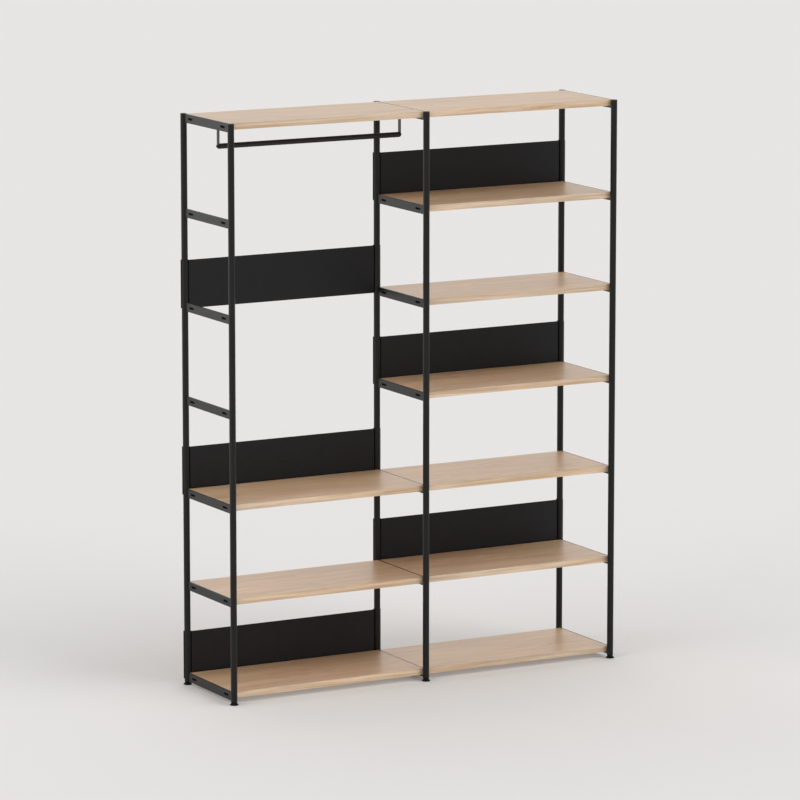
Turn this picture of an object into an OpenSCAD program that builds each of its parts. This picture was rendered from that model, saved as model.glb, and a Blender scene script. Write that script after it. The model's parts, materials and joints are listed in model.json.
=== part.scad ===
// Open clothes rack, two bays wide: three ladder frames of round posts and
// flat-bar rungs, oak boards pinned between the rungs, sheet back panels
// hooked round the rear posts, and a hanging rail under the top left board.
// Millimetres. X to the right, Y to the back, Z up, origin on the floor
// under the middle of the rack. Level 0 is the lowest board, level 6 the top.

/* [Overall] */
// Distance from one ladder frame to the next, centre to centre
bay_w = 737; // [500:1:900]
// Distance from the front posts to the rear posts, centre to centre
depth_c = 350; // [300:1:450]
// Distance from one shelf level to the next
pitch = 320; // [260:1:400]
// Gap between the floor and the lower end of the posts
floor_gap = 12; // [12:0.5:16]

/* [Ladder frames] */
// Outside diameter of the posts
post_d = 22; // [20:1:25]
// Wall thickness of the posts
post_wall = 1.5; // [1:0.1:2]
// Thickness of the flat-bar rungs
rung_t = 5; // [4:0.5:6]
// Height of the flat-bar rungs
rung_h = 30; // [28:1:35]
// Length of the slots in the rungs, end to end
slot_len = 33; // [28:1:40]
// Height of the slots in the rungs
slot_h = 7.4; // [6:0.1:8]
// Distance from a post's centre line to the middle of the nearest slot
slot_from_post = 55; // [50:1:80]

/* [Boards] */
// Thickness of the boards
board_t = 21; // [18:0.5:21.5]
// Height of a board's underside above the lower edge of its rungs
board_up = 8.8; // [6:0.1:9]
// Gap between a board's end and the rung
board_gap = 0.3; // [0.2:0.1:0.6]
// Gap between a board's long edge and the posts
board_edge_gap = 0.5; // [0.4:0.1:1]
// Diameter of the steel pins that carry the boards
pin_d = 5; // [4:0.5:5]
// Depth of the pins in the boards
pin_in = 25; // [20:1:35]

/* [Back panels] */
// Height of a back panel
panel_h = 165; // [120:1:200]
// Thickness of the sheet
panel_t = 1.2; // [1:0.1:1.5]
// Distance of the sheet's front face in front of the posts' centre plane
sheet_fwd = 4.6; // [3.5:0.1:9]
// Thickness of the plastic grip between the hook and the post
grip_t = 1.8; // [1.2:0.1:2]
// Outside radius of the bend from the flat sheet to the hook
bend_r = 2; // [1.5:0.1:3]
// Angle behind the posts' centre plane at which a hook ends on its outer side
hook_open = 18; // [12:1:30]
// Length of the pressed mark in the middle of the sheet
mark_len = 28; // [20:1:40]

/* [Hanging rail] */
// Diameter of the rail
rail_d = 18; // [16:1:25]
// Distance of the rail's axis below the underside of the top board
rail_drop = 69.4; // [50:0.1:90]
// Distance of the rail's axis in front of the middle of the depth
rail_fwd = 32; // [0:1:60]
// Distance from a frame's centre plane to the middle of the nearest hanger
hanger_in = 25; // [20:1:60]
// Width of the hanger strip
hanger_w = 16; // [14:1:20]
// Thickness of the hanger strip
hanger_t = 2.5; // [2:0.1:3]

/* [Feet] */
// Diameter of a foot's pad
foot_d = 28; // [24:0.5:28]
// Height of a foot's pad
pad_h = 4; // [3:0.5:5]
// Diameter of a foot's neck
neck_d = 20; // [16:0.5:21]
// Diameter of a foot's thread
stud_d = 8; // [6:1:8]

/* [Hidden] */
$fn = 96;

levels = 6;
post_r = post_d / 2;
post_in = post_r - post_wall;
hook_in = post_r + grip_t;          // inner radius of the panel's hook
hook_out = hook_in + panel_t;       // outer radius of the panel's hook
hook_leg = sheet_fwd - bend_r;      // straight part of the hook on its inner side
cap_t = 1.2;                        // flange of a post cap
post_top = floor_gap + levels * pitch + rung_h;
insert_t = 2.0;                     // thickness of a slot insert
pin_deep = 1.5;                     // depth of a pin in its insert
pin_left = 10.5;                    // pin of the bay on the left, behind the slot's middle
pin_right = -0.5;                   // pin of the bay on the right, behind the slot's middle
stud_top = 28;                      // thread above a foot's neck
bush_h = 20;
board_z = board_up;                 // underside of a board above its rung's lower edge
rail_z = floor_gap + levels * pitch + board_up - rail_drop;
board_len = bay_w - rung_t - 2 * board_gap;
board_w = depth_c - post_d - 2 * board_edge_gap;

post_c = [0.10, 0.10, 0.10];
rung_c = [0.20, 0.20, 0.20];
foot_c = [0.06, 0.06, 0.06];
oak_c = [0.80, 0.68, 0.55];
panel_c = [0.13, 0.13, 0.13];
nylon_c = [0.03, 0.03, 0.03];
steel_c = [0.62, 0.62, 0.60];

// X of a frame's centre plane and Z of a rung's lower edge
function fx(i) = (i - 1) * bay_w;
function lz(k) = floor_gap + k * pitch;

// Round-ended bar along Y, as deep as d along X, centred
module obround_x(len, h, d) {
    cube([d, len - h, h], center = true);
    for (s = [-1, 1]) translate([-d / 2, s * (len - h) / 2, 0])
        rotate([0, 90, 0]) cylinder(d = h, h = d);
}

// Round-ended bar along X, as deep as d along Y, centred
module obround_y(len, h, d) {
    cube([len - h, d, h], center = true);
    for (s = [-1, 1]) translate([s * (len - h) / 2, d / 2, 0])
        rotate([90, 0, 0]) cylinder(d = h, h = d);
}

// Tube post: frame number, -1 for front or 1 for rear
module post(i, s) {
    translate([fx(i), s * depth_c / 2, floor_gap]) difference() {
        cylinder(r = post_r, h = post_top - cap_t - floor_gap);
        translate([0, 0, -1]) cylinder(r = post_in, h = post_top);
    }
}

// Push-in caps with a thin flange, one on every post
module post_caps() {
    color(foot_c) for (i = [0:2], s = [-1, 1])
        translate([fx(i), s * depth_c / 2, post_top - cap_t]) {
            rotate_extrude() polygon([[0, 0], [post_r, 0], [post_r, cap_t - 0.4],
                [post_r - 0.4, cap_t], [0, cap_t]]);
            translate([0, 0, -12]) difference() {
                cylinder(r = post_in, h = 12);
                translate([0, 0, -1]) cylinder(r = post_in - 2, h = 11);
            }
        }
}

// Screw-in levelling foot: pad, neck and a thread of plain rings
module foot(i, s) {
    r = foot_d / 2;
    n = neck_d / 2;
    t = stud_d / 2;
    nz = floor_gap - 0.4;
    rings = 20;
    p = stud_top / rings;
    translate([fx(i), s * depth_c / 2, 0]) rotate_extrude() polygon(concat(
        [[0, 0], [r - 1, 0], [r, 0.8], [r, pad_h - 0.7], [r - 0.6, pad_h],
         [n + 0.7, pad_h + 0.3], [n, pad_h + 1.1], [n, nz - 0.5], [n - 0.5, nz], [t - 0.55, nz]],
        [for (j = [0:rings - 1]) each [[t - 0.55, nz + (j + 0.15) * p], [t, nz + (j + 0.45) * p],
            [t, nz + (j + 0.6) * p], [t - 0.55, nz + (j + 0.9) * p]]],
        [[t - 0.9, nz + stud_top], [0, nz + stud_top]]));
}

// Threaded bushes pressed into the lower ends of the posts
module foot_bushes() {
    color(nylon_c) for (i = [0:2], s = [-1, 1])
        translate([fx(i), s * depth_c / 2, floor_gap]) difference() {
            cylinder(r = post_in, h = bush_h);
            translate([0, 0, -1]) cylinder(r = stud_d / 2 + 0.05, h = bush_h + 2);
        }
}

// Flat-bar rung, coped to the two posts, with a slot near each end
module rung(i, k) {
    translate([fx(i), 0, lz(k)]) difference() {
        translate([-rung_t / 2, -depth_c / 2, 0]) cube([rung_t, depth_c, rung_h]);
        for (s = [-1, 1]) {
            translate([0, s * depth_c / 2, -1]) cylinder(r = post_r, h = rung_h + 2);
            translate([0, s * (depth_c / 2 - slot_from_post), rung_h / 2])
                obround_x(slot_len, slot_h, rung_t + 2);
        }
    }
}

// Inserts in the slots: thin behind, ramped out to a full pad in front, with one blind pin hole from either side
module slot_inserts() {
    f = slot_len / 2;
    t = insert_t / 2;
    p = rung_t / 2 - 0.2;
    color(nylon_c) for (i = [0:2], k = [0:levels], s = [-1, 1])
        translate([fx(i), s * (depth_c / 2 - slot_from_post), lz(k) + rung_h / 2]) difference() {
            intersection() {
                obround_x(slot_len, slot_h, rung_t);
                translate([0, 0, -slot_h]) linear_extrude(2 * slot_h)
                    polygon([[-p, -f - 1], [p, -f - 1], [p, -f + 3], [t, -f + 13], [t, f + 1], [-t, f + 1],
                             [-t, -f + 13], [-p, -f + 3]]);
            }
            // hole for the bay on the left, open to the left
            translate([-t - 1, pin_left, 0]) rotate([0, 90, 0]) cylinder(d = pin_d, h = pin_deep + 1);
            // hole for the bay on the right, open to the right
            translate([t - pin_deep, pin_right, 0]) rotate([0, 90, 0]) cylinder(d = pin_d, h = pin_deep + 1);
        }
}

// One end pin of a board: bay b, level k, side e (-1 left end, 1 right end), s front or rear
module pin_at(b, k, e, s) {
    x_out = e < 0 ? fx(b) + insert_t / 2 - pin_deep : fx(b + 1) - insert_t / 2 + pin_deep;
    x_in = e < 0 ? fx(b) + rung_t / 2 + board_gap + pin_in : fx(b + 1) - rung_t / 2 - board_gap - pin_in;
    y = s * (depth_c / 2 - slot_from_post) + (e < 0 ? pin_right : pin_left);
    translate([min(x_out, x_in), y, lz(k) + rung_h / 2]) rotate([0, 90, 0])
        cylinder(d = pin_d, h = abs(x_in - x_out));
}

// Pins at both ends of every board
module shelf_pins() {
    color(steel_c) {
        for (k = [0, 1, 2, 6], e = [-1, 1], s = [-1, 1]) pin_at(0, k, e, s);
        for (k = [0:levels], e = [-1, 1], s = [-1, 1]) pin_at(1, k, e, s);
    }
}

// X of the two screws of a hanger, measured from the hanger strip's middle
function screw_x(j) = j == 0 ? 12 : 23;
// X of the middle of a hanger strip: e -1 left, 1 right
function hanger_x(e) = e < 0 ? fx(0) + hanger_in : fx(1) - hanger_in;

// Board between two frames: blind holes for the pins, and for the hanger's screws where hung
module shelf(b, k, hung) {
    difference() {
        translate([fx(b) + rung_t / 2 + board_gap, -board_w / 2, lz(k) + board_z])
            cube([board_len, board_w, board_t]);
        for (e = [-1, 1], s = [-1, 1]) pin_at(b, k, e, s);
        if (hung) for (e = [-1, 1], j = [0, 1])
            translate([hanger_x(e) - e * screw_x(j), -rail_fwd, lz(k) + board_z - 1])
                cylinder(d = 4, h = 13);
    }
}

// Outline of a hook round the back of a rear post whose centre is the origin: the sheet lies towards +X,
// the outer side is towards -X and ends short of the centre plane, so that the hook goes on from behind
module hook_outline(ri, ro, leg) {
    difference() {
        union() {
            circle(r = ro);
            translate([0, -leg]) square([ro, leg]);
        }
        circle(r = ri);
        translate([0, -leg - 1]) square([ri, leg + 1]);
        translate([-ro - 1, -ro - 1 - leg]) square([2 * ro + 2, ro + 1]);
        polygon([[0, 0], [0, -2 * ro], [-2 * ro, -2 * ro],
                 [-2 * ro * cos(hook_open), 2 * ro * sin(hook_open)]]);
    }
}

// Bend from the hook's near leg to the flat sheet
module bend_outline() {
    difference() {
        circle(r = bend_r);
        circle(r = bend_r - panel_t);
        translate([0, -bend_r - 1]) square([bend_r + 1, 2 * bend_r + 2]);
        translate([-bend_r - 1, 0]) square([2 * bend_r + 2, bend_r + 1]);
    }
}

// Sheet back panel of bay b at level k, hooked round both rear posts
module panel(b, k) {
    x1 = hook_in + bend_r;
    translate([fx(b), depth_c / 2, lz(k) + board_z]) difference() {
        linear_extrude(panel_h) {
            for (m = [0, 1]) translate([m * bay_w, 0]) mirror([m, 0]) {
                hook_outline(hook_in, hook_out, hook_leg);
                translate([x1, -hook_leg]) bend_outline();
            }
            translate([x1, -sheet_fwd]) square([bay_w - 2 * x1, panel_t]);
        }
        translate([bay_w / 2, -sheet_fwd, panel_h - 72]) obround_y(mark_len, 4, 1);
    }
}

// Plastic grips between the hooks and the posts
module panel_grips() {
    color(nylon_c) {
        for (b = [0, 1], k = (b == 0 ? [0, 2, 4] : [1, 3, 5]), m = [0, 1])
            translate([fx(b + m), depth_c / 2, lz(k) + board_z + 1])
                linear_extrude(panel_h - 2) hook_outline(post_r, hook_in, hook_leg - 0.5);
    }
}

// Rail tube with solid, drilled ends
module hanging_rail() {
    x0 = hanger_x(-1) + hanger_t / 2;
    l = hanger_x(1) - hanger_t / 2 - x0;
    color(post_c) translate([x0, -rail_fwd, rail_z]) rotate([0, 90, 0]) difference() {
        cylinder(d = rail_d, h = l);
        translate([0, 0, 12]) cylinder(d = rail_d - 2.4, h = l - 24);
        translate([0, 0, -1]) cylinder(d = 5, h = l + 2);
    }
}

// Hanger: strip with a round lower end and a flange under the board; e -1 left, 1 right
module hanger(e) {
    h = rail_drop;
    r = 5;
    translate([hanger_x(e), -rail_fwd, rail_z]) mirror([e > 0 ? 1 : 0, 0, 0]) difference() {
        union() {
            translate([-hanger_t / 2, -hanger_w / 2, 0]) cube([hanger_t, hanger_w, h - r]);
            translate([-hanger_t / 2, 0, 0]) rotate([0, 90, 0]) cylinder(d = hanger_w, h = hanger_t);
            translate([-hanger_t / 2 + r, hanger_w / 2, h - r]) rotate([90, 0, 0]) difference() {
                cylinder(r = r, h = hanger_w);
                translate([0, 0, -1]) cylinder(r = r - hanger_t, h = hanger_w + 2);
                translate([0, -r - 1, -1]) cube([r + 1, 2 * r + 2, hanger_w + 2]);
                translate([-r - 1, -r - 1, -1]) cube([2 * r + 2, r + 1, hanger_w + 2]);
            }
            translate([-hanger_t / 2 + r, -hanger_w / 2, h - hanger_t]) cube([26, hanger_w, hanger_t]);
        }
        translate([-hanger_t, 0, 0]) rotate([0, 90, 0]) cylinder(d = 5, h = 2 * hanger_t);
        for (j = [0, 1]) translate([screw_x(j), 0, h - hanger_t - 1]) cylinder(d = 4, h = hanger_t + 2);
    }
}
module rail_hanger_left() { color(post_c) hanger(-1); }
module rail_hanger_right() { color(post_c) hanger(1); }

// Dome-headed bolts through the hangers into the rail's ends
module rail_bolts() {
    color(post_c) for (e = [-1, 1])
        translate([hanger_x(e) + e * hanger_t / 2, -rail_fwd, rail_z]) rotate([0, e * 90, 0]) {
            cylinder(d = 11, h = 0.5);
            translate([0, 0, 0.5]) intersection() {
                sphere(d = 11);
                cylinder(d = 12, h = 6);
            }
            translate([0, 0, -hanger_t - 12]) cylinder(d = 5, h = hanger_t + 12);
        }
}

// Screws up through the hangers' flanges into the top left board
module hanger_screws() {
    color(steel_c) for (e = [-1, 1], j = [0, 1])
        translate([hanger_x(e) - e * screw_x(j), -rail_fwd, rail_z + rail_drop - hanger_t]) {
            difference() {
                translate([0, 0, -2.4]) rotate_extrude() polygon([[0, 0], [3, 0], [4, 1], [4, 2.4], [0, 2.4]]);
                for (a = [0, 90]) rotate(a) translate([-2.2, -0.4, -3]) cube([4.4, 0.8, 2]);
            }
            cylinder(d = 4, h = hanger_t + 12);
        }
}

// Posts
module post_front_left() { color(post_c) post(0, -1); }
module post_rear_left() { color(post_c) post(0, 1); }
module post_front_middle() { color(post_c) post(1, -1); }
module post_rear_middle() { color(post_c) post(1, 1); }
module post_front_right() { color(post_c) post(2, -1); }
module post_rear_right() { color(post_c) post(2, 1); }

// Levelling feet
module foot_front_left() { color(foot_c) foot(0, -1); }
module foot_rear_left() { color(foot_c) foot(0, 1); }
module foot_front_middle() { color(foot_c) foot(1, -1); }
module foot_rear_middle() { color(foot_c) foot(1, 1); }
module foot_front_right() { color(foot_c) foot(2, -1); }
module foot_rear_right() { color(foot_c) foot(2, 1); }

// Rungs: frame number, level
module rung_left_0() { color(rung_c) rung(0, 0); }
module rung_left_1() { color(rung_c) rung(0, 1); }
module rung_left_2() { color(rung_c) rung(0, 2); }
module rung_left_3() { color(rung_c) rung(0, 3); }
module rung_left_4() { color(rung_c) rung(0, 4); }
module rung_left_5() { color(rung_c) rung(0, 5); }
module rung_left_6() { color(rung_c) rung(0, 6); }
module rung_middle_0() { color(rung_c) rung(1, 0); }
module rung_middle_1() { color(rung_c) rung(1, 1); }
module rung_middle_2() { color(rung_c) rung(1, 2); }
module rung_middle_3() { color(rung_c) rung(1, 3); }
module rung_middle_4() { color(rung_c) rung(1, 4); }
module rung_middle_5() { color(rung_c) rung(1, 5); }
module rung_middle_6() { color(rung_c) rung(1, 6); }
module rung_right_0() { color(rung_c) rung(2, 0); }
module rung_right_1() { color(rung_c) rung(2, 1); }
module rung_right_2() { color(rung_c) rung(2, 2); }
module rung_right_3() { color(rung_c) rung(2, 3); }
module rung_right_4() { color(rung_c) rung(2, 4); }
module rung_right_5() { color(rung_c) rung(2, 5); }
module rung_right_6() { color(rung_c) rung(2, 6); }

// Shelf boards: bay number, level, board under which the hangers are screwed or not
module shelf_left_0() { color(oak_c) shelf(0, 0, false); }
module shelf_left_1() { color(oak_c) shelf(0, 1, false); }
module shelf_left_2() { color(oak_c) shelf(0, 2, false); }
module shelf_left_6() { color(oak_c) shelf(0, 6, true); }
module shelf_right_0() { color(oak_c) shelf(1, 0, false); }
module shelf_right_1() { color(oak_c) shelf(1, 1, false); }
module shelf_right_2() { color(oak_c) shelf(1, 2, false); }
module shelf_right_3() { color(oak_c) shelf(1, 3, false); }
module shelf_right_4() { color(oak_c) shelf(1, 4, false); }
module shelf_right_5() { color(oak_c) shelf(1, 5, false); }
module shelf_right_6() { color(oak_c) shelf(1, 6, false); }

// Back panels: bay number, level
module panel_left_0() { color(panel_c) panel(0, 0); }
module panel_left_2() { color(panel_c) panel(0, 2); }
module panel_left_4() { color(panel_c) panel(0, 4); }
module panel_right_1() { color(panel_c) panel(1, 1); }
module panel_right_3() { color(panel_c) panel(1, 3); }
module panel_right_5() { color(panel_c) panel(1, 5); }

post_front_left();
post_rear_left();
post_front_middle();
post_rear_middle();
post_front_right();
post_rear_right();
post_caps();
foot_front_left();
foot_rear_left();
foot_front_middle();
foot_rear_middle();
foot_front_right();
foot_rear_right();
foot_bushes();
rung_left_0();
rung_left_1();
rung_left_2();
rung_left_3();
rung_left_4();
rung_left_5();
rung_left_6();
rung_middle_0();
rung_middle_1();
rung_middle_2();
rung_middle_3();
rung_middle_4();
rung_middle_5();
rung_middle_6();
rung_right_0();
rung_right_1();
rung_right_2();
rung_right_3();
rung_right_4();
rung_right_5();
rung_right_6();
slot_inserts();
shelf_left_0();
shelf_left_1();
shelf_left_2();
shelf_left_6();
shelf_right_0();
shelf_right_1();
shelf_right_2();
shelf_right_3();
shelf_right_4();
shelf_right_5();
shelf_right_6();
shelf_pins();
panel_left_0();
panel_left_2();
panel_left_4();
panel_right_1();
panel_right_3();
panel_right_5();
panel_grips();
hanging_rail();
rail_hanger_left();
rail_hanger_right();
rail_bolts();
hanger_screws();
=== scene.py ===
"""Looks of the open clothes rack: camera, light, floor, finishes and small surface detail."""
import json
import math

import bpy
import bmesh
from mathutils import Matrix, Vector

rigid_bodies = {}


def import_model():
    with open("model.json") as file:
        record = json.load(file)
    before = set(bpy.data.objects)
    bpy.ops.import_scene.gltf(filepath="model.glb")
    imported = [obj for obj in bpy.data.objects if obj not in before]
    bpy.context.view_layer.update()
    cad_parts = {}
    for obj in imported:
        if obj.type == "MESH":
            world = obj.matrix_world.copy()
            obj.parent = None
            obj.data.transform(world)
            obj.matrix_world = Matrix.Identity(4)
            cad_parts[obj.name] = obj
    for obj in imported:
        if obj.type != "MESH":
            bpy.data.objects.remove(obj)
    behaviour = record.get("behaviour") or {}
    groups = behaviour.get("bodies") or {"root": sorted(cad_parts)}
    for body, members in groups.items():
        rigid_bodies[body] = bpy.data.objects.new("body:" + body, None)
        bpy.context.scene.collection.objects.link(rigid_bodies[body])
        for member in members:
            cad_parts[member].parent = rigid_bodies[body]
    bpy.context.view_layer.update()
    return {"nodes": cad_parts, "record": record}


for o in list(bpy.data.objects):
    bpy.data.objects.remove(o)

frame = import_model()
nodes = frame["nodes"]
scene = bpy.context.scene
scene.view_settings.view_transform = "Standard"
scene.view_settings.look = "None"
scene.view_settings.exposure = 0.0
scene.view_settings.gamma = 1.0


# ---------------------------------------------------------------- camera
def make_camera():
    data = bpy.data.cameras.new("camera")
    data.sensor_width = 36.0
    data.lens = 221.473
    data.clip_start, data.clip_end = 0.1, 400.0
    cam = bpy.data.objects.new("camera", data)
    scene.collection.objects.link(cam)
    cam.location = (-8.01017, -14.5544, 3.85789)
    cam.rotation_euler = (math.pi / 2 - 0.173214, 0.0, -0.502838)
    scene.camera = cam


make_camera()


# ---------------------------------------------------------------- node helpers
class Tree:
    """A small helper for writing node trees."""

    def __init__(self, tree):
        self.t = tree

    def add(self, kind, inputs=None, **props):
        n = self.t.nodes.new(kind)
        for k, v in props.items():
            setattr(n, k, v)
        for k, v in (inputs or {}).items():
            self.set(n.inputs[k], v)
        return n

    def set(self, socket, v):
        if isinstance(v, bpy.types.NodeSocket):
            self.t.links.new(v, socket)
        else:
            socket.default_value = v

    def math(self, op, a, b=0.0, clamp=False):
        n = self.add("ShaderNodeMath", operation=op, use_clamp=clamp)
        self.set(n.inputs[0], a)
        self.set(n.inputs[1], b)
        return n.outputs[0]

    def vmath(self, op, a, b):
        n = self.add("ShaderNodeVectorMath", operation=op)
        self.set(n.inputs[0], a)
        self.set(n.inputs[1], b)
        return n.outputs[0]

    def noise(self, vector, scale, detail=2.0, rough=0.5, distortion=0.0):
        n = self.add("ShaderNodeTexNoise", noise_dimensions="3D")
        self.set(n.inputs["Vector"], vector)
        self.set(n.inputs["Scale"], scale)
        self.set(n.inputs["Detail"], detail)
        self.set(n.inputs["Roughness"], rough)
        self.set(n.inputs["Distortion"], distortion)
        return n

    def ramp(self, fac, low, high, to_low=0.0, to_high=1.0):
        n = self.add("ShaderNodeMapRange", clamp=True)
        self.set(n.inputs["Value"], fac)
        for k, v in (("From Min", low), ("From Max", high), ("To Min", to_low), ("To Max", to_high)):
            n.inputs[k].default_value = v
        return n.outputs["Result"]

    def mix(self, fac, a, b):
        n = self.add("ShaderNodeMix", data_type="RGBA")
        self.set(n.inputs[0], fac)
        self.set(n.inputs[6], a)
        self.set(n.inputs[7], b)
        return n.outputs[2]


def new_material(name):
    m = bpy.data.materials.new(name)
    m.use_nodes = True
    m.node_tree.nodes.clear()
    t = Tree(m.node_tree)
    out = t.add("ShaderNodeOutputMaterial")
    bsdf = t.add("ShaderNodeBsdfPrincipled")
    m.node_tree.links.new(bsdf.outputs[0], out.inputs["Surface"])
    return m, t, bsdf


def rgb(c):
    return (c[0], c[1], c[2], 1.0)


# ---------------------------------------------------------------- oak
def oak(name, seed):
    """Light oak, grain along X: growth rings round a pith below the board, broad figure, fine streaks and open pores."""
    m, t, bsdf = new_material(name)
    place = t.add("ShaderNodeTexCoord").outputs["Object"]
    shift = (3.7 * seed + 0.31, 1.9 * seed + 0.17, 0.83 * seed)
    p = t.vmath("ADD", place, shift)
    # slow bending of the grain
    slow = t.noise(t.vmath("MULTIPLY", p, (1.3, 6.0, 6.0)), 1.0, 2.0, 0.5)
    bend = t.vmath("MULTIPLY", t.vmath("SUBTRACT", slow.outputs["Color"], (0.5, 0.5, 0.5)), (0.0, 0.045, 0.045))
    bent = t.vmath("ADD", p, bend)
    # growth rings
    pith_y = 0.11 * math.sin(2.4 * seed + 0.6)
    pith = (shift[0], shift[1] + pith_y, shift[2] - 0.35 - 0.04 * (seed % 3))
    rings = t.add("ShaderNodeTexWave", wave_type="RINGS", rings_direction="X", wave_profile="SAW")
    wobble = t.noise(t.vmath("MULTIPLY", p, (3.0, 34.0, 34.0)), 1.0, 2.0, 0.5).outputs["Color"]
    wobble = t.vmath("MULTIPLY", t.vmath("SUBTRACT", wobble, (0.5, 0.5, 0.5)), (0.0, 0.006, 0.006))
    t.set(rings.inputs["Vector"], t.vmath("SUBTRACT", t.vmath("ADD", bent, wobble), pith))
    rings.inputs["Scale"].default_value = 82.0
    rings.inputs["Distortion"].default_value = 0.0
    ring = rings.outputs["Fac"]
    # broad figure, streaks and pores, all drawn out along the grain
    figure = t.noise(t.vmath("MULTIPLY", bent, (1.6, 26.0, 26.0)), 1.0, 3.0, 0.55).outputs["Fac"]
    streak = t.noise(t.vmath("MULTIPLY", bent, (5.0, 170.0, 170.0)), 1.0, 3.0, 0.6).outputs["Fac"]
    fine = t.noise(t.vmath("MULTIPLY", bent, (26.0, 900.0, 900.0)), 1.0, 2.0, 0.6).outputs["Fac"]
    pores = t.noise(t.vmath("MULTIPLY", bent, (48.0, 1500.0, 1500.0)), 1.0, 1.0, 0.5).outputs["Fac"]
    pore = t.math("MULTIPLY", t.ramp(pores, 0.60, 0.70), t.ramp(ring, 0.15, 0.75, 1.0, 0.15))
    tone = t.math("ADD", t.math("MULTIPLY", figure, 0.95), t.math("MULTIPLY", streak, 0.75))
    tone = t.math("ADD", tone, t.math("MULTIPLY", ring, 0.22))
    tone = t.math("ADD", tone, t.math("MULTIPLY", fine, 0.25))
    tone = t.ramp(tone, 0.72, 1.42)
    # the edges show the layers of the wood as longer, stronger bands
    band = t.noise(t.vmath("MULTIPLY", bent, (1.7, 92.0, 92.0)), 1.0, 3.0, 0.6).outputs["Fac"]
    band = t.ramp(t.math("ADD", t.math("MULTIPLY", band, 0.75), t.math("MULTIPLY", streak, 0.25)), 0.385, 0.615)
    # painted light: tops and edges get separate base colours, each tuned to how the light falls on it, the edges paler
    # and the tops redder
    up = t.add("ShaderNodeSeparateXYZ", {"Vector": t.add("ShaderNodeTexCoord").outputs["Normal"]}).outputs["Z"]
    face = t.ramp(t.math("ABSOLUTE", up), 0.35, 0.90)
    low = t.mix(face, rgb((0.425, 0.282, 0.160)), rgb((0.460, 0.288, 0.160)))
    high = t.mix(face, rgb((0.728, 0.566, 0.402)), rgb((0.712, 0.492, 0.304)))
    edge_tone = t.math("ADD", t.math("MULTIPLY", band, 0.70), t.math("MULTIPLY", tone, 0.30))
    level = t.math("ADD", t.math("MULTIPLY", tone, face), t.math("MULTIPLY", edge_tone, t.math("SUBTRACT", 1.0, face)))
    base = t.mix(level, low, high)
    # some parts are a little pinker, some a little yellower
    hue = t.noise(t.vmath("MULTIPLY", bent, (1.2, 30.0, 30.0)), 1.0, 3.0, 0.6).outputs["Fac"]
    warm = t.mix(face, rgb((1.045, 0.980, 0.910)), rgb((1.020, 0.992, 0.955)))
    cool = t.mix(face, rgb((0.965, 1.005, 1.080)), rgb((0.985, 1.000, 1.030)))
    base = t.vmath("MULTIPLY", base, t.mix(t.ramp(hue, 0.36, 0.64), warm, cool))
    base = t.mix(t.math("MULTIPLY", pore, 0.42), base, rgb((0.27, 0.165, 0.095)))
    t.set(bsdf.inputs["Base Color"], base)
    t.set(bsdf.inputs["Roughness"], t.ramp(t.math("ADD", streak, t.math("MULTIPLY", pore, 0.4)), 0.3, 1.0, 0.38, 0.50))
    bsdf.inputs["IOR"].default_value = 1.48
    bsdf.inputs["Coat Weight"].default_value = 1.0
    bsdf.inputs["Coat IOR"].default_value = 1.50
    t.set(bsdf.inputs["Coat Roughness"], t.ramp(figure, 0.3, 0.7, 0.33, 0.39))
    height = t.math("SUBTRACT", t.math("MULTIPLY", fine, 0.35), pore)
    bump = t.add("ShaderNodeBump", {"Strength": 0.35, "Distance": 0.00025})
    t.set(bump.inputs["Height"], height)
    t.set(bsdf.inputs["Normal"], bump.outputs[0])
    return m


# ---------------------------------------------------------------- powder coat
def powder(name, low, high, rough, peel, depth, ior=1.5, smooth_top=False):
    """Fine powder coat: slight mottling, an orange-peel texture and a roughness that varies a little."""
    m, t, bsdf = new_material(name)
    place = t.add("ShaderNodeTexCoord").outputs["Object"]
    mottle = t.noise(place, 34.0, 3.0, 0.6).outputs["Fac"]
    skin = t.noise(place, peel, 2.0, 0.55).outputs["Fac"]
    speck = t.noise(place, peel * 3.3, 1.0, 0.5).outputs["Fac"]
    shade = t.math("ADD", t.math("MULTIPLY", mottle, 0.6), t.math("MULTIPLY", speck, 0.4))
    t.set(bsdf.inputs["Base Color"], t.mix(t.ramp(shade, 0.32, 0.68), rgb(low), rgb(high)))
    t.set(bsdf.inputs["Roughness"], t.ramp(t.math("ADD", t.math("MULTIPLY", mottle, 0.5), t.math("MULTIPLY", skin, 0.5)),
                                           0.3, 0.7, rough - 0.05, rough + 0.05))
    bsdf.inputs["IOR"].default_value = ior
    bump = t.add("ShaderNodeBump", {"Strength": 0.30, "Distance": depth})
    t.set(bump.inputs["Height"], t.math("ADD", skin, t.math("MULTIPLY", speck, 0.35)))
    t.set(bsdf.inputs["Normal"], bump.outputs[0])
    if smooth_top:
        # the powder flows out smoother and glossier on the narrow upper edges
        up = t.add("ShaderNodeSeparateXYZ", {"Vector": t.add("ShaderNodeTexCoord").outputs["Normal"]}).outputs["Z"]
        t.set(bsdf.inputs["Coat Weight"], t.ramp(up, 0.90, 0.99, 0.0, 0.95))
        t.set(bsdf.inputs["Specular IOR Level"], t.ramp(up, 0.90, 0.99, 0.5, 0.12))
        bsdf.inputs["Coat Roughness"].default_value = 0.15
        bsdf.inputs["Coat IOR"].default_value = 1.50
    return m


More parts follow.
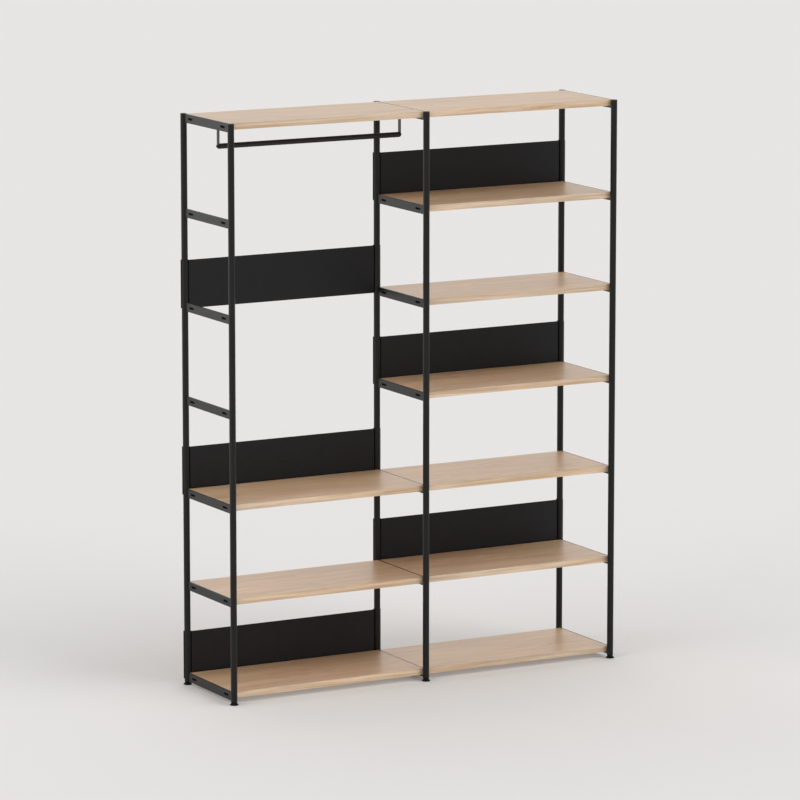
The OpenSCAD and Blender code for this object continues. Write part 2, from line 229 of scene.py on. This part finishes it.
# ---------------------------------------------------------------- moulded plastic
def moulded(name, low, high, rough, sheen=0.5):
    """Matt moulded plastic with a fine spark-eroded texture."""
    m, t, bsdf = new_material(name)
    place = t.add("ShaderNodeTexCoord").outputs["Object"]
    grain = t.add("ShaderNodeTexVoronoi", feature="F1")
    t.set(grain.inputs["Vector"], place)
    grain.inputs["Scale"].default_value = 2600.0
    flow = t.noise(place, 120.0, 2.0, 0.5).outputs["Fac"]
    t.set(bsdf.inputs["Base Color"], t.mix(flow, rgb(low), rgb(high)))
    t.set(bsdf.inputs["Roughness"], t.ramp(flow, 0.3, 0.7, rough - 0.04, rough + 0.06))
    bsdf.inputs["IOR"].default_value = 1.44
    bsdf.inputs["Specular IOR Level"].default_value = sheen
    bump = t.add("ShaderNodeBump", {"Strength": 0.25, "Distance": 0.00006})
    t.set(bump.inputs["Height"], grain.outputs["Distance"])
    t.set(bsdf.inputs["Normal"], bump.outputs[0])
    return m


# ---------------------------------------------------------------- zinc-plated steel
def zinc(name):
    """Bright zinc-plated steel with fine drawn lines."""
    m, t, bsdf = new_material(name)
    place = t.add("ShaderNodeTexCoord").outputs["Object"]
    lines = t.noise(t.vmath("MULTIPLY", place, (200.0, 3200.0, 3200.0)), 1.0, 2.0, 0.6).outputs["Fac"]
    cloud = t.noise(place, 260.0, 2.0, 0.5).outputs["Fac"]
    t.set(bsdf.inputs["Base Color"], t.mix(cloud, rgb((0.50, 0.51, 0.53)), rgb((0.68, 0.68, 0.67))))
    bsdf.inputs["Metallic"].default_value = 1.0
    t.set(bsdf.inputs["Roughness"], t.ramp(lines, 0.3, 0.7, 0.24, 0.40))
    bump = t.add("ShaderNodeBump", {"Strength": 0.2, "Distance": 0.00003})
    t.set(bump.inputs["Height"], lines)
    t.set(bsdf.inputs["Normal"], bump.outputs[0])
    return m


post_coat = powder("post_satin_black", (0.0055, 0.0058, 0.0056), (0.0090, 0.0093, 0.0088), 0.33, 900.0, 0.00006, 1.33)
rung_coat = powder("rung_satin_black", (0.0070, 0.0072, 0.0072), (0.0105, 0.0108, 0.0108), 0.40, 900.0, 0.00005, 1.40, True)
panel_coat = powder("panel_fine_matt_black", (0.0060, 0.0062, 0.0076), (0.0090, 0.0094, 0.0112), 0.46, 1300.0, 0.00007, 1.34)
rail_coat = powder("rail_satin_black", (0.0070, 0.0073, 0.0070), (0.0110, 0.0113, 0.0106), 0.30, 900.0, 0.00006, 1.37)
foot_plastic = moulded("foot_black_nylon", (0.0030, 0.0030, 0.0030), (0.0055, 0.0055, 0.0055), 0.55, 0.20)
cap_plastic = moulded("cap_black_nylon", (0.010, 0.010, 0.010), (0.016, 0.016, 0.016), 0.46)
insert_plastic = moulded("insert_black_nylon", (0.0022, 0.0022, 0.0022), (0.0040, 0.0040, 0.0040), 0.80, 0.05)
bare_steel = zinc("zinc_plated_steel")

finish_of = {
    "post_coat": post_coat, "rung_coat": rung_coat, "panel_coat": panel_coat, "rail_coat": rail_coat,
    "foot_plastic": foot_plastic, "cap_plastic": cap_plastic, "insert_plastic": insert_plastic,
    "bare_steel": bare_steel,
}
slot_of = {s["node"]: s["material_slot"] for s in frame["record"]["subparts"]}


def soften(o, width, segments=2):
    """A small rounding of the sharp edges."""
    w = o.modifiers.new("weld", "WELD")
    w.merge_threshold = 1e-5
    b = o.modifiers.new("edges", "BEVEL")
    b.width = width
    b.segments = segments
    b.limit_method = "ANGLE"
    b.angle_limit = math.radians(50)
    b.use_clamp_overlap = True
    b.harden_normals = True


boards = sorted(n for n in nodes if slot_of[n] == "oak")
for name, o in nodes.items():
    slot = slot_of[name]
    if slot == "oak":
        material = oak("oak_" + name, 1 + boards.index(name))
        soften(o, 0.0009, 3)
    else:
        material = finish_of[slot]
        if slot == "rung_coat":
            soften(o, 0.00015, 2)
    for s in o.material_slots:
        s.material = material


# ---------------------------------------------------------------- floor and light
def make_floor():
    mesh = bpy.data.meshes.new("floor")
    s = 150.0
    mesh.from_pydata([(-s, -s, -0.0002), (s, -s, -0.0002), (s, s, -0.0002), (-s, s, -0.0002)], [], [(0, 1, 2, 3)])
    o = bpy.data.objects.new("floor", mesh)
    scene.collection.objects.link(o)
    m, t, bsdf = new_material("pale_floor")
    place = t.add("ShaderNodeTexCoord").outputs["Object"]
    cloud = t.noise(place, 0.6, 2.0, 0.5).outputs["Fac"]
    t.set(bsdf.inputs["Base Color"], t.mix(cloud, rgb((0.718, 0.708, 0.700)), rgb((0.722, 0.712, 0.704))))
    bsdf.inputs["Roughness"].default_value = 0.9
    bsdf.inputs["Specular IOR Level"].default_value = 0.0
    o.data.materials.append(m)


def make_world():
    world = bpy.data.worlds.new("studio")
    scene.world = world
    world.use_nodes = True
    t = Tree(world.node_tree)
    world.node_tree.nodes.clear()
    out = t.add("ShaderNodeOutputWorld")
    bg = t.add("ShaderNodeBackground", {"Strength": 0.645})
    bg.inputs["Color"].default_value = (1.0, 0.996, 0.993, 1.0)
    world.node_tree.links.new(bg.outputs[0], out.inputs["Surface"])


def make_sun(name, azimuth, elevation, energy, angle, sheen):
    """azimuth: where the light stands, degrees from -Y (front) towards +X (right)."""
    data = bpy.data.lights.new(name, "SUN")
    data.energy = energy
    data.angle = math.radians(angle)
    data.color = (1.0, 0.996, 0.990)
    o = bpy.data.objects.new(name, data)
    scene.collection.objects.link(o)
    o.visible_glossy = sheen
    a, e = math.radians(azimuth), math.radians(elevation)
    towards = Vector((math.sin(a) * math.cos(e), -math.cos(a) * math.cos(e), math.sin(e)))
    o.rotation_mode = "QUATERNION"
    o.rotation_quaternion = towards.to_track_quat("Z", "Y")


def make_box(name, centre, size, glow):
    """A soft box beside the rack that only shows in the satin coats, as their highlights."""
    data = bpy.data.lights.new(name, "AREA")
    data.shape = "RECTANGLE"
    data.size, data.size_y = size
    data.energy = glow * math.pi * size[0] * size[1]
    data.color = (1.0, 0.996, 0.990)
    o = bpy.data.objects.new(name, data)
    scene.collection.objects.link(o)
    o.location = centre
    o.rotation_mode = "QUATERNION"
    o.rotation_quaternion = Vector((centre[0], centre[1], 0.0)).to_track_quat("Z", "Y")
    o.visible_camera = False
    o.visible_diffuse = False


def make_underlight(name, centre, size, glow):
    """A faint lamp under a lowest board: it lifts the shadow beneath the board, and shows nowhere else."""
    data = bpy.data.lights.new(name, "AREA")
    data.shape = "RECTANGLE"
    data.size, data.size_y = size
    data.energy = glow * math.pi * size[0] * size[1]
    data.color = (0.89, 0.95, 1.0)
    o = bpy.data.objects.new(name, data)
    scene.collection.objects.link(o)
    o.location = centre
    o.visible_camera = False
    o.visible_glossy = False


make_floor()
make_world()
make_sun("key", 38.0, 30.0, 1.25, 50.0, False)
make_sun("fill", -84.0, 32.0, 0.92, 52.0, False)
make_sun("back", 166.0, 36.0, 0.60, 62.0, False)
make_underlight("under_left", (-0.3685, 0.0, 0.0195), (0.716, 0.324), 0.259)
make_underlight("under_right", (0.3685, 0.0, 0.0195), (0.716, 0.324), 0.259)
make_box("left_box", (-4.6, 0.3, 2.1), (5.0, 4.2), 0.38)
make_box("back_left_box", (-3.2, 5.6, 2.6), (4.5, 4.6), 0.48)
